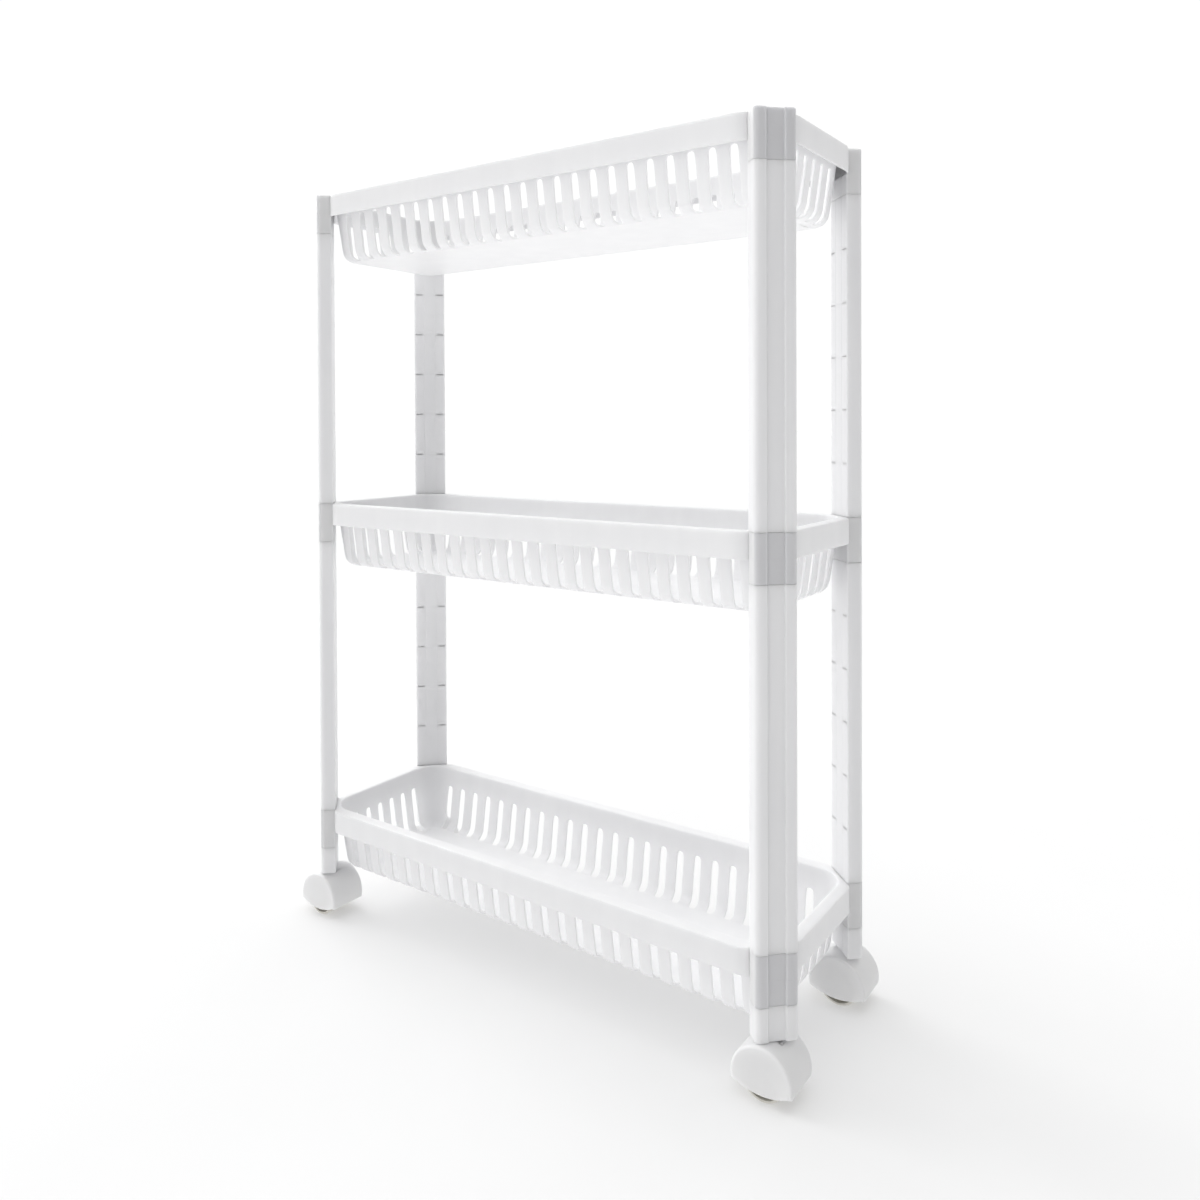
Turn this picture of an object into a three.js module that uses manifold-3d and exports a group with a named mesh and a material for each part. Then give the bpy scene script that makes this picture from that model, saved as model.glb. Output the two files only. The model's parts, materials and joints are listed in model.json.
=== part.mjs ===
// Slim rolling pantry cart: three slotted basket trays, clip-in corner posts and four hooded casters.
// Millimetres, +Z up, +X along the trays, front of the cart towards -Y, origin on the floor at the centre.
import * as THREE from 'three';
import { mergeVertices } from 'three/addons/utils/BufferGeometryUtils.js';
import Module from 'manifold-3d';

const wasm = await Module();
wasm.setup();

// ---------- driving dimensions ----------
const CART_HEIGHT = 621;
const TRAY_PITCH = 265;
const POST_SPACING_X = 424;
const POST_SPACING_Y = 126.6;
const GAP = 0.3;

// Post and socket cross-section: a flat tube set diagonally across each corner.
const POST_WIDTH = 29;
const POST_THICKNESS = 12.6;
const POST_EDGE_RADIUS = 4;
const FLUTE_WIDTH = 12.2;
const FLUTE_DEPTH = 1.3;
const POST_WALL = 1.8;
const SPIGOT_WALL = 1.4;
const SPIGOT_LENGTH = 15;
const SOCKET_HEIGHT = 32.7;
const SOCKET_CAP = 2;

// Tray: a rim with a hanging band, and a tapered tub with slots that run round its bottom fillet.
const BAND_OUTSET = 9.2;
const BAND_HEIGHT = 18.4;
const BAND_THICKNESS = 2;
const RIM_THICKNESS = 2;
const RIM_ROUNDING = 1.6;
const TRAY_WALL = 2;
const TRAY_DEPTH = 55.3;
const TUB_TOP_X = 213;
const TUB_TOP_Y = 64;
const TUB_DRAFT = 6.5;
const TUB_FILLET = 9.5;
const TUB_CORNER_RADIUS = 22.5;
const TUB_CORNER_STEPS = 3;
const SLOT_TOP = 16;
const SLOT_TAIL = 1;
const SIDE_SLOTS = 24;
const SIDE_SLOT_PITCH = 16;
const SIDE_SLOT_WIDTH = 6.2;
const END_SLOTS = 6;
const END_SLOT_PITCH = 14.1;
const END_SLOT_WIDTH = 5.8;

// Caster: a hood on a steel stem, with two wheels on one axle. Its own +X is the rolling direction.
const STEM_INSET = 1;
const HOOD_RADIUS = 21.3;
const HOOD_CENTRE_X = 1.8;
const HOOD_TOP = 35.8;
const HOOD_WIDTH = 32.4;
const HOOD_WALL = 1.6;
const HOOD_CORNER_Z = 10;
const HOOD_BELLY_Z = 6;
const WEB_THICKNESS = 7;
const WEB_HALF_LENGTH = 7;
const WEB_BELOW_AXLE = 3;
const WHEEL_RADIUS = 14.5;
const WHEEL_TRAIL = 1.8;
const WHEEL_INNER_FACE = 3.9;
const WHEEL_WIDTH = 9.4;
const WHEEL_RIM = 2;
const WHEEL_HUB_RADIUS = 4.5;
const WHEEL_WEB = 2;
const WHEEL_SIDES = 24;
const AXLE_RADIUS = 2;
const AXLE_CLEARANCE = 0.06;
const STEM_RADIUS = 2.9;
const STEM_CLEARANCE = 0.06;
const STEM_BOTTOM = 19;
const STEM_TOP = 54;
const STEM_GROOVE_Z = 50;
const STEM_GROOVE_DEPTH = 0.6;
const RING_HEIGHT = 1.2;
const RING_OUTSET = 0.35;
const SMALL_SIDES = 16;
const LEG_BOTTOM = HOOD_TOP + 0.4;

const CASTER_TURNS = {
  front_left: -0.5,
  front_right: 179.5,
  back_left: 0.5,
  back_right: 180.5,
};

// ---------- places worked out from the driving dimensions ----------
const POST_X = POST_SPACING_X / 2;
const POST_Y = POST_SPACING_Y / 2;
const BAND_X = POST_X + BAND_OUTSET;
const BAND_Y = POST_Y + BAND_OUTSET;
const TRAY_LEVELS = {
  bottom_tray: CART_HEIGHT - 2 * TRAY_PITCH,
  middle_tray: CART_HEIGHT - TRAY_PITCH,
  top_tray: CART_HEIGHT,
};
const CORNERS = [
  { name: 'front_left', sx: -1, sy: -1 },
  { name: 'front_right', sx: 1, sy: -1 },
  { name: 'back_left', sx: -1, sy: 1 },
  { name: 'back_right', sx: 1, sy: 1 },
];
const SECTION_OUT = POST_THICKNESS / 2;
const BORE_HALF_WIDTH = POST_WIDTH / 2 - POST_WALL;
const BORE_IN = -SECTION_OUT + POST_WALL;
const BORE_OUT = SECTION_OUT - FLUTE_DEPTH - POST_WALL;

// ---------- materials ----------
const TRAY_PLASTIC = { color: 0xf1f1f3, roughness: 0.38, metalness: 0 };
const POST_PLASTIC = { color: 0xefeff1, roughness: 0.34, metalness: 0 };
const HOOD_PLASTIC = { color: 0xececef, roughness: 0.36, metalness: 0 };
const WHEEL_PLASTIC = { color: 0xe9e6dc, roughness: 0.45, metalness: 0 };
const ZINC_STEEL = { color: 0xb9bcc0, roughness: 0.3, metalness: 1 };

// ---------- solids ----------
function solidOf(geometry) {
  const bare = geometry.clone();
  bare.deleteAttribute('normal');
  bare.deleteAttribute('uv');
  const merged = mergeVertices(bare, 1e-4);
  return new wasm.Manifold(new wasm.Mesh({
    numProp: 3,
    vertProperties: new Float32Array(merged.attributes.position.array),
    triVerts: new Uint32Array(merged.index.array),
  }));
}

function geometryOf(solid) {
  const mesh = solid.getMesh();
  const geometry = new THREE.BufferGeometry();
  geometry.setAttribute('position', new THREE.BufferAttribute(new Float32Array(mesh.vertProperties), 3));
  geometry.setIndex(new THREE.BufferAttribute(new Uint32Array(mesh.triVerts), 1));
  return geometry;
}

function block(x0, x1, y0, y1, z0, z1) {
  const geometry = new THREE.BoxGeometry(x1 - x0, y1 - y0, z1 - z0);
  geometry.translate((x0 + x1) / 2, (y0 + y1) / 2, (z0 + z1) / 2);
  return solidOf(geometry);
}

// An outline in the XY plane, extruded from z0 to z1.
function prism(points, z0, z1) {
  const shape = new THREE.Shape(points);
  const geometry = new THREE.ExtrudeGeometry(shape, { depth: z1 - z0, bevelEnabled: false });
  geometry.translate(0, 0, z0);
  return solidOf(geometry);
}

// A closed profile of [radius, z] points turned about the Z axis.
function turned(profile, sides) {
  const points = profile.map(([radius, z]) => new THREE.Vector2(radius, z));
  return new THREE.LatheGeometry(points, sides).rotateX(Math.PI / 2);
}

// A convex solid through rings of equal point count, given from the lowest ring up.
function loft(rings) {
  const count = rings[0].length;
  const positions = rings.flat().flatMap((point) => [point.x, point.y, point.z]);
  const index = [];
  for (let level = 0; level < rings.length - 1; level += 1) {
    for (let i = 0; i < count; i += 1) {
      const a = level * count + i;
      const b = level * count + ((i + 1) % count);
      index.push(a, b, b + count, a, b + count, a + count);
    }
  }
  const top = (rings.length - 1) * count;
  for (let i = 1; i < count - 1; i += 1) {
    index.push(0, i + 1, i);
    index.push(top, top + i, top + i + 1);
  }
  const geometry = new THREE.BufferGeometry();
  geometry.setAttribute('position', new THREE.Float32BufferAttribute(positions, 3));
  geometry.setIndex(index);
  return solidOf(geometry);
}

// Rectangle with its four corners cut at 45 degrees.
function cutRectangle(halfX, halfY, corner) {
  return [
    new THREE.Vector2(halfX, -halfY + corner),
    new THREE.Vector2(halfX, halfY - corner),
    new THREE.Vector2(halfX - corner, halfY),
    new THREE.Vector2(-halfX + corner, halfY),
    new THREE.Vector2(-halfX, halfY - corner),
    new THREE.Vector2(-halfX, -halfY + corner),
    new THREE.Vector2(-halfX + corner, -halfY),
    new THREE.Vector2(halfX - corner, -halfY),
  ];
}

function arcPoints(centreX, centreY, radius, fromDegrees, toDegrees, steps) {
  const points = [];
  for (let i = 0; i <= steps; i += 1) {
    const angle = THREE.MathUtils.degToRad(fromDegrees + ((toDegrees - fromDegrees) * i) / steps);
    points.push(new THREE.Vector2(centreX + radius * Math.cos(angle), centreY + radius * Math.sin(angle)));
  }
  return points;
}

function roundRectangle(halfX, halfY, radius) {
  const [cx, cy] = [halfX - radius, halfY - radius];
  return [
    ...arcPoints(cx, cy, radius, 0, 90, TUB_CORNER_STEPS),
    ...arcPoints(-cx, cy, radius, 90, 180, TUB_CORNER_STEPS),
    ...arcPoints(-cx, -cy, radius, 180, 270, TUB_CORNER_STEPS),
    ...arcPoints(cx, -cy, radius, 270, 360, TUB_CORNER_STEPS),
  ];
}

// ---------- post section ----------
// In the section's own plane x runs across the broad face and y points out of the cart's corner.
function postOutline() {
  const half = POST_WIDTH / 2;
  const edge = POST_EDGE_RADIUS;
  const flute = FLUTE_WIDTH / 2;
  return [
    new THREE.Vector2(-half, -SECTION_OUT),
    new THREE.Vector2(half, -SECTION_OUT),
    ...arcPoints(half - edge, SECTION_OUT - edge, edge, 0, 90, 3),
    new THREE.Vector2(flute, SECTION_OUT),
    new THREE.Vector2(flute, SECTION_OUT - FLUTE_DEPTH),
    new THREE.Vector2(-flute, SECTION_OUT - FLUTE_DEPTH),
    new THREE.Vector2(-flute, SECTION_OUT),
    ...arcPoints(-half + edge, SECTION_OUT - edge, edge, 90, 180, 3),
  ];
}

function boreBlock(inset, z0, z1) {
  return block(-BORE_HALF_WIDTH + inset, BORE_HALF_WIDTH - inset, BORE_IN + inset, BORE_OUT - inset, z0, z1);
}

// Angle that turns the section's outward +Y to the diagonal of a corner.
function cornerTurn(corner) {
  return Math.atan2(corner.sy, corner.sx) - Math.PI / 2;
}

function atCorner(object, corner) {
  object.position.set(corner.sx * POST_X, corner.sy * POST_Y, 0);
  object.rotation.z = cornerTurn(corner);
  return object;
}

function solidAtCorner(solid, corner) {
  return solid
    .rotate([0, 0, THREE.MathUtils.radToDeg(cornerTurn(corner))])
    .translate([corner.sx * POST_X, corner.sy * POST_Y, 0]);
}

// ---------- trays, built with the rim's top face at z = 0 ----------
function tubRing(inset, drop, z) {
  const draft = Math.min(drop / (TRAY_DEPTH - TUB_FILLET), 1);
  const pastWall = Math.max(drop - (TRAY_DEPTH - TUB_FILLET), 0) / TUB_FILLET;
  const turn = TUB_FILLET * (1 - Math.sqrt(Math.max(1 - pastWall * pastWall, 0)));
  const inward = TUB_DRAFT * draft + turn + inset;
  return roundRectangle(TUB_TOP_X - inward, TUB_TOP_Y - inward, TUB_CORNER_RADIUS - inward)
    .map((p) => new THREE.Vector3(p.x, p.y, z));
}

function tub(inset, rise) {
  const wallDrop = TRAY_DEPTH - TUB_FILLET;
  const rings = [wallDrop + TUB_FILLET, wallDrop + 0.7 * TUB_FILLET, wallDrop]
    .map((drop) => tubRing(inset, drop, inset - drop));
  rings.push(tubRing(inset, 0, rise));
  return loft(rings);
}

function slots() {
  const low = -TRAY_DEPTH - 1;
  const tailY = TUB_TOP_Y - TUB_DRAFT - TUB_FILLET + SLOT_TAIL;
  const tailX = TUB_TOP_X - TUB_DRAFT - TUB_FILLET + SLOT_TAIL;
  const farY = BAND_Y - BAND_THICKNESS - 1;
  const farX = BAND_X - BAND_THICKNESS - 1;
  const cutters = [];
  for (let i = 0; i < SIDE_SLOTS; i += 1) {
    const x = (i - (SIDE_SLOTS - 1) / 2) * SIDE_SLOT_PITCH;
    const half = SIDE_SLOT_WIDTH / 2;
    cutters.push(block(x - half, x + half, tailY, farY, low, -SLOT_TOP));
    cutters.push(block(x - half, x + half, -farY, -tailY, low, -SLOT_TOP));
  }
  for (let i = 0; i < END_SLOTS; i += 1) {
    const y = (i - (END_SLOTS - 1) / 2) * END_SLOT_PITCH;
    const half = END_SLOT_WIDTH / 2;
    cutters.push(block(tailX, farX, y - half, y + half, low, -SLOT_TOP));
    cutters.push(block(-farX, -tailX, y - half, y + half, low, -SLOT_TOP));
  }
  return cutters;
}

function tray(closedTop) {
  const corner = BAND_X + BAND_Y - (POST_X + POST_Y) - Math.SQRT2 * (SECTION_OUT - POST_WALL);
  const inner = corner - (2 - Math.SQRT2) * BAND_THICKNESS;
  const outerRing = (inset, z) => {
    const outline = cutRectangle(BAND_X - inset, BAND_Y - inset, corner - (2 - Math.SQRT2) * inset);
    return outline.map((p) => new THREE.Vector3(p.x, p.y, z));
  };
  const shell = loft([
    outerRing(0, -BAND_HEIGHT), outerRing(0, -RIM_ROUNDING),
    outerRing(0.3 * RIM_ROUNDING, -0.3 * RIM_ROUNDING),
    outerRing(RIM_ROUNDING, 0),
  ]);
  const under = prism(
    cutRectangle(BAND_X - BAND_THICKNESS, BAND_Y - BAND_THICKNESS, inner), -BAND_HEIGHT - 1, -RIM_THICKNESS);
  let solid = shell.subtract(under).add(tub(0, -RIM_THICKNESS / 2));
  for (const place of CORNERS) {
    solid = solid.add(solidAtCorner(prism(postOutline(), -SOCKET_HEIGHT, 0), place));
  }
  solid = solid.subtract(tub(TRAY_WALL, 1));
  const boreTop = closedTop ? -SOCKET_CAP : 1;
  for (const place of CORNERS) {
    solid = solid.subtract(solidAtCorner(boreBlock(0, -SOCKET_HEIGHT - 1, boreTop), place));
  }
  return slots().reduce((left, cutter) => left.subtract(cutter), solid);
}

// ---------- posts and legs, built at their own height about the section's centre ----------
function post(bottom, top) {
  const spigots = boreBlock(GAP, bottom - SPIGOT_LENGTH, top + SPIGOT_LENGTH);
  const core = boreBlock(GAP + SPIGOT_WALL, bottom - SPIGOT_LENGTH - 1, top + SPIGOT_LENGTH + 1);
  const hollow = boreBlock(0, bottom + POST_WALL, top - POST_WALL);
  return prism(postOutline(), bottom, top).add(spigots).subtract(core).subtract(hollow);
}

function leg(bottom, top) {
  const bore = STEM_RADIUS + STEM_CLEARANCE;
  const snap = STEM_RADIUS + RING_OUTSET + 2 * STEM_CLEARANCE;
  const holeTop = STEM_TOP + 1;
  const hole = turned([
    [0, bottom - 1], [bore, bottom - 1], [bore, STEM_GROOVE_Z - GAP], [snap, STEM_GROOVE_Z - GAP],
    [snap, STEM_GROOVE_Z + RING_HEIGHT + GAP], [bore, STEM_GROOVE_Z + RING_HEIGHT + GAP],
    [bore, holeTop], [0, holeTop],
  ], SMALL_SIDES);
  const spigot = boreBlock(GAP, top - 1, top + SPIGOT_LENGTH);
  return prism(postOutline(), bottom, top).add(spigot).subtract(solidOf(hole).translate([0, -STEM_INSET, 0]));
}

// ---------- casters, built about the stem's axis with the floor at z = 0 ----------
function hoodOutline(radius, skirt) {
  const centreZ = HOOD_TOP - HOOD_RADIUS;
  const drop = THREE.MathUtils.radToDeg(Math.asin((centreZ - HOOD_CORNER_Z) / HOOD_RADIUS));
  const arc = arcPoints(HOOD_CENTRE_X, centreZ, radius, -drop, 180 + drop, 16);
  if (skirt > 0) {
    arc.push(new THREE.Vector2(HOOD_CENTRE_X - radius, -skirt));
    arc.push(new THREE.Vector2(HOOD_CENTRE_X + radius, -skirt));
    return arc;
  }
  const half = HOOD_RADIUS * Math.cos(THREE.MathUtils.degToRad(drop));
  for (const step of [-0.55, 0, 0.55]) {
    const z = HOOD_BELLY_Z + (HOOD_CORNER_Z - HOOD_BELLY_Z) * step * step;
    arc.push(new THREE.Vector2(HOOD_CENTRE_X + half * step, z));
  }
  return arc;
}

// Outlines drawn in the rolling plane are extruded across it, centred on y = 0.
function acrossRolling(points, width) {
  return prism(points, -width / 2, width / 2).rotate([90, 0, 0]);
}

function hood() {
  const shell = acrossRolling(hoodOutline(HOOD_RADIUS, 0), HOOD_WIDTH);
  const inside = acrossRolling(hoodOutline(HOOD_RADIUS - HOOD_WALL, 5), HOOD_WIDTH - 2 * HOOD_WALL);
  const webLow = WHEEL_RADIUS - AXLE_RADIUS - WEB_BELOW_AXLE;
  const web = block(
    -WEB_HALF_LENGTH, WHEEL_TRAIL + WEB_HALF_LENGTH, -WEB_THICKNESS / 2, WEB_THICKNESS / 2,
    webLow, HOOD_TOP - HOOD_WALL);
  const stemHole = new THREE.CylinderGeometry(STEM_RADIUS, STEM_RADIUS, HOOD_TOP, SMALL_SIDES);
  stemHole.rotateX(Math.PI / 2).translate(0, 0, STEM_BOTTOM - GAP + HOOD_TOP / 2);
  const axleBore = AXLE_RADIUS + GAP;
  const axleHole = new THREE.CylinderGeometry(axleBore, axleBore, 2 * WEB_THICKNESS, SMALL_SIDES);
  axleHole.translate(WHEEL_TRAIL, 0, WHEEL_RADIUS);
  return shell.subtract(inside).add(web).subtract(solidOf(stemHole)).subtract(solidOf(axleHole));
}

function stem() {
  const seat = STEM_RADIUS - GAP;
  const groove = STEM_RADIUS - STEM_GROOVE_DEPTH;
  const grooveTop = STEM_GROOVE_Z + RING_HEIGHT;
  return turned([
    [0, STEM_BOTTOM], [seat, STEM_BOTTOM], [seat, HOOD_TOP], [STEM_RADIUS, LEG_BOTTOM],
    [STEM_RADIUS, STEM_GROOVE_Z - GAP / 2], [groove, STEM_GROOVE_Z - GAP / 2], [groove, grooveTop + GAP / 2],
    [STEM_RADIUS, grooveTop + GAP / 2], [STEM_RADIUS, STEM_TOP - 1], [STEM_RADIUS - 1, STEM_TOP],
    [0, STEM_TOP],
  ], SMALL_SIDES);
}

function stemRing() {
  const inner = STEM_RADIUS - STEM_GROOVE_DEPTH + GAP / 2;
  const outer = STEM_RADIUS + RING_OUTSET;
  const high = STEM_GROOVE_Z + RING_HEIGHT;
  return turned([
    [inner, STEM_GROOVE_Z], [outer, STEM_GROOVE_Z], [outer, high], [inner, high], [inner, STEM_GROOVE_Z],
  ], SMALL_SIDES);
}

function axle() {
  const length = 2 * (WHEEL_INNER_FACE + WHEEL_WIDTH - 1);
  return new THREE.CylinderGeometry(AXLE_RADIUS, AXLE_RADIUS, length, SMALL_SIDES);
}

// The wheel's axis is Z here: inner face at z = 0, open dished side up, one flat of the tread downwards.
function wheel() {
  const bore = AXLE_RADIUS + AXLE_CLEARANCE;
  const halfStep = Math.PI / WHEEL_SIDES;
  const tread = WHEEL_RADIUS / Math.cos(halfStep);
  const rim = tread - WHEEL_RIM;
  return turned([
    [bore, 0], [tread - 0.8, 0], [tread, 0.8], [tread, WHEEL_WIDTH - 0.8],
    [tread - 0.8, WHEEL_WIDTH], [rim, WHEEL_WIDTH], [rim, WHEEL_WEB], [WHEEL_HUB_RADIUS, WHEEL_WEB],
    [WHEEL_HUB_RADIUS, WHEEL_WIDTH - 1.5], [bore, WHEEL_WIDTH - 1.5], [bore, 0],
  ], WHEEL_SIDES).rotateZ(halfStep);
}

// ---------- assembly ----------
function piece(name, geometry, finish) {
  const mesh = new THREE.Mesh(geometry, new THREE.MeshStandardMaterial(finish));
  mesh.name = name;
  return mesh;
}

function caster(corner) {
  const group = new THREE.Group();
  group.add(piece(`caster_hood_${corner.name}`, geometryOf(hood()), HOOD_PLASTIC));
  group.add(piece(`caster_stem_${corner.name}`, stem(), ZINC_STEEL));
  group.add(piece(`stem_ring_${corner.name}`, stemRing(), ZINC_STEEL));
  const pin = piece(`wheel_axle_${corner.name}`, axle(), ZINC_STEEL);
  pin.position.set(WHEEL_TRAIL, 0, WHEEL_RADIUS);
  group.add(pin);
  for (const [side, turn] of [['left', -1], ['right', 1]]) {
    const roller = piece(`wheel_${side}_${corner.name}`, wheel(), WHEEL_PLASTIC);
    roller.position.set(WHEEL_TRAIL, -turn * WHEEL_INNER_FACE, WHEEL_RADIUS);
    roller.rotation.x = (turn * Math.PI) / 2;
    group.add(roller);
  }
  const inset = STEM_INSET * Math.SQRT1_2;
  group.position.set(corner.sx * (POST_X - inset), corner.sy * (POST_Y - inset), 0);
  group.rotation.z = THREE.MathUtils.degToRad(CASTER_TURNS[corner.name]);
  return group;
}

const cart = new THREE.Group();

for (const [name, level] of Object.entries(TRAY_LEVELS)) {
  const basket = piece(name, geometryOf(tray(name === 'top_tray')), TRAY_PLASTIC);
  basket.position.z = level;
  cart.add(basket);
}

for (const corner of CORNERS) {
  const lower = post(TRAY_LEVELS.bottom_tray + GAP, TRAY_LEVELS.middle_tray - SOCKET_HEIGHT - GAP);
  const upper = post(TRAY_LEVELS.middle_tray + GAP, TRAY_LEVELS.top_tray - SOCKET_HEIGHT - GAP);
  const foot = leg(LEG_BOTTOM, TRAY_LEVELS.bottom_tray - SOCKET_HEIGHT - GAP);
  cart.add(atCorner(piece(`lower_post_${corner.name}`, geometryOf(lower), POST_PLASTIC), corner));
  cart.add(atCorner(piece(`upper_post_${corner.name}`, geometryOf(upper), POST_PLASTIC), corner));
  cart.add(atCorner(piece(`leg_${corner.name}`, geometryOf(foot), POST_PLASTIC), corner));
  cart.add(caster(corner));
}

export default cart;
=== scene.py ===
"""Looks for the slim rolling pantry cart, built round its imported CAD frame.

Lengths are in millimetres until a mesh is made.
"""

import json
import math

import bmesh
import bpy
from mathutils import Matrix, Vector


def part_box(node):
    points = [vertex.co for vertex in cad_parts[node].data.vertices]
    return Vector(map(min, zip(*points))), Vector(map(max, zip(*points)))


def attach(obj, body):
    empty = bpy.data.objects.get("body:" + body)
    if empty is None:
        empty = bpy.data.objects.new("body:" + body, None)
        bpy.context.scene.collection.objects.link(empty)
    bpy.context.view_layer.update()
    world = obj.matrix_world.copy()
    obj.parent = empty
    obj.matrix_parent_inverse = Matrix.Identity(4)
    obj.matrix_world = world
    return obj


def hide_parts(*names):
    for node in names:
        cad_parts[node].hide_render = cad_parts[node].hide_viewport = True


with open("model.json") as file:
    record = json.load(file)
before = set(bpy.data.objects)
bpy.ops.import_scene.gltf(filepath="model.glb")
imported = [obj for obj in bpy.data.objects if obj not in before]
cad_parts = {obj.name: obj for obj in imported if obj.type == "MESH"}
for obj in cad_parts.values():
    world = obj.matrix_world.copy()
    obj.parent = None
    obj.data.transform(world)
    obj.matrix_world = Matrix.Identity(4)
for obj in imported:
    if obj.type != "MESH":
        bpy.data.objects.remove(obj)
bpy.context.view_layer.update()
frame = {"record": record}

# ---------- driving dimensions, as in the CAD part but for fine details ----------
MM = 0.001
GAP = 0.3
POST_X = 212.0
POST_Y = 63.3
CORNERS = {
    "front_left": (-1, -1),
    "front_right": (1, -1),
    "back_left": (-1, 1),
    "back_right": (1, 1),
}
TRAYS = ("bottom_tray", "middle_tray", "top_tray")

# Post section: x runs across the broad face, y points out of the cart's corner.
POST_HALF = 14.5
SECTION_OUT = 6.3
POST_EDGE_RADIUS = 4.0
INNER_EDGE_RADIUS = 1.1
FLUTE_HALF = 6.1
FLUTE_DEPTH = 1.3
FLUTE_SLOPE = 0.5
FLUTE_RADIUS = 0.6
LEAST_RADIUS = 0.2
POST_WALL = 1.8
SOCKET_WALL = 1.3
SPIGOT_LENGTH = 15.0
JOINT_CLOSING = 0.2
LINE_DEPTH = 0.12
SOCKET_HEIGHT = 32.7
END_ROUNDING = 0.15
CROWN_ROUNDING = 0.3
SPIGOT_ROUNDING = 0.8
SPIGOT_ROOT = 3.0
SEAM_HALF = 5.2
SEAM_WIDTH = 0.5
SEAM_DEPTH = 0.22
RIB_PITCH = 38.7
RIB_LENGTH = 6.0
RIB_HEIGHT = 0.7
RIB_PROUD = 0.16
RIB_ROOT = 0.3
RIB_INSET = 1.6

# Tray: every ring of the tub is the core rectangle pushed out by its reach.
CORE_X = 190.5
CORE_Y = 41.5
TUB_REACH = 22.5
TUB_DRAFT = 6.5
TUB_DEPTH = 55.3
TUB_FILLET = 10.0
WALL = 2.0
BAND_X = 221.2
BAND_Y = 72.5
BAND_HEIGHT = 18.4
CUT_OUTER = 5.4
CUT_INNER = 6.25
SLOT_TOP = 16.0
SLOT_TAIL = 1.0
SIDE_SLOTS = (24, 16.0, 3.1)
END_SLOTS = (6, 14.1, 2.9)
SLOT_GUARD = 0.6
SLOT_LIP = 0.7
CORNER_STEPS = 8
FLOOR_ROWS = 6
FLOOR_START = 0.6
FLOOR_GUARD = 3.5
RIM_TURN = 2.3

# Caster, about the stem's axis with the floor at z = 0 and +X the rolling direction. The hood is a
# hair under the CAD's radius, because the CAD's is faceted.
TRAIL = 1.8
HOOD_RADIUS = 21.28
HOOD_TOP = 35.8
HOOD_HALF_WIDTH = 16.2
HOOD_WALL = 1.6
HOOD_FILLET = 1.9
HOOD_CORNER_Z = 10.0
HOOD_BELLY_Z = 6.0
HOOD_COLUMNS = 56
WEB_HALF = 3.5
WEB_REACH = 7.0
WEB_BELOW_AXLE = 3.0
WHEEL_RADIUS = 14.5
WHEEL_INNER_FACE = 3.9
WHEEL_WIDTH = 9.4
WHEEL_HUB = 4.5
WHEEL_RIM = 1.9
WHEEL_WEB = 2.0
WHEEL_RIBS = 6
AXLE_RADIUS = 2.0
STEM_RADIUS = 2.9
STEM_BOTTOM = 19.0
STEM_TOP = 54.0
RING_Z = 50.0
RING_HEIGHT = 1.2
GROOVE_DEPTH = 0.6

# Angles in degrees above which an edge stays sharp.
TRAY_CREASE = 38
POST_CREASE = 35
HOOD_CREASE = 40
WHEEL_CREASE = 35


# ---------- meshes as (points, faces), joined into shells ----------
def joined(parts):
    points, faces = [], []
    for part_points, part_faces in parts:
        base = len(points)
        points += part_points
        faces += [[base + i for i in face] for face in part_faces]
    return points, faces


def moved(part, matrix):
    points, faces = part
    placed = [matrix @ Vector(p) for p in points]
    if matrix.determinant() < 0:
        faces = [list(reversed(face)) for face in faces]
    return placed, faces


def loft(rings, capped=True, closed=False):
    """Skins rings of equal point count. A closed loft joins the last ring to the first."""
    count = len(rings[0])
    points = [Vector(p) for ring in rings for p in ring]
    faces = []
    steps = len(rings) if closed else len(rings) - 1
    for level in range(steps):
        low = level * count
        high = ((level + 1) % len(rings)) * count
        for i in range(count):
            j = (i + 1) % count
            faces.append([low + i, low + j, high + j, high + i])
    if capped and not closed:
        faces.append(list(reversed(range(count))))
        faces.append(list(range((len(rings) - 1) * count, len(rings) * count)))
    return points, faces


def filleted(corners, steps=5):
    """Outline through (x, y, radius) corners, anticlockwise, each rounded by its radius."""
    outline = []
    count = len(corners)
    for i, (x, y, radius) in enumerate(corners):
        here = Vector((x, y))
        back = (Vector(corners[i - 1][:2]) - here).normalized()
        ahead = (Vector(corners[(i + 1) % count][:2]) - here).normalized()
        half = back.angle(ahead) / 2
        if radius <= 0:
            outline.append(here)
            continue
        centre = here + (back + ahead).normalized() * (radius / math.sin(half))
        start = here + back * (radius / math.tan(half)) - centre
        end = here + ahead * (radius / math.tan(half)) - centre
        sweep = start.angle_signed(end)
        for k in range(steps + 1):
            turn = -sweep * k / steps
            outline.append(centre + Matrix.Rotation(turn, 2) @ start)
    return outline


def inset(outline, amount):
    """The outline moved inward by amount along its mitred corners."""
    moved_points = []
    count = len(outline)
    for i, here in enumerate(outline):
        before = (here - outline[i - 1]).normalized()
        after = (outline[(i + 1) % count] - here).normalized()
        normal = Vector((-before.y - after.y, before.x + after.x)).normalized()
        spread = max(normal.dot(Vector((-before.y, before.x))), 0.5)
        moved_points.append(here + normal * (amount / spread))
    return moved_points


def at_height(outline, z):
    return [Vector((p.x, p.y, z)) for p in outline]


def eased_ends(low, high, rounding):
    """Ring insets and heights of the rounded lower and upper edges of an extrusion."""
    curve = [(1.0, 0.0), (0.3, 0.3), (0.0, 1.0)]
    foot = [(depth * rounding, low + rise * rounding) for depth, rise in curve]
    head = [(depth * rounding, high - rise * rounding) for depth, rise in reversed(curve)]
    return foot, head


def bar(outline, low, high, rounding=END_ROUNDING):
    """Solid extrusion with rounded end edges."""
    foot, head = eased_ends(low, high, rounding)
    return loft([at_height(inset(outline, depth), z) for depth, z in foot + head])


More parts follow.
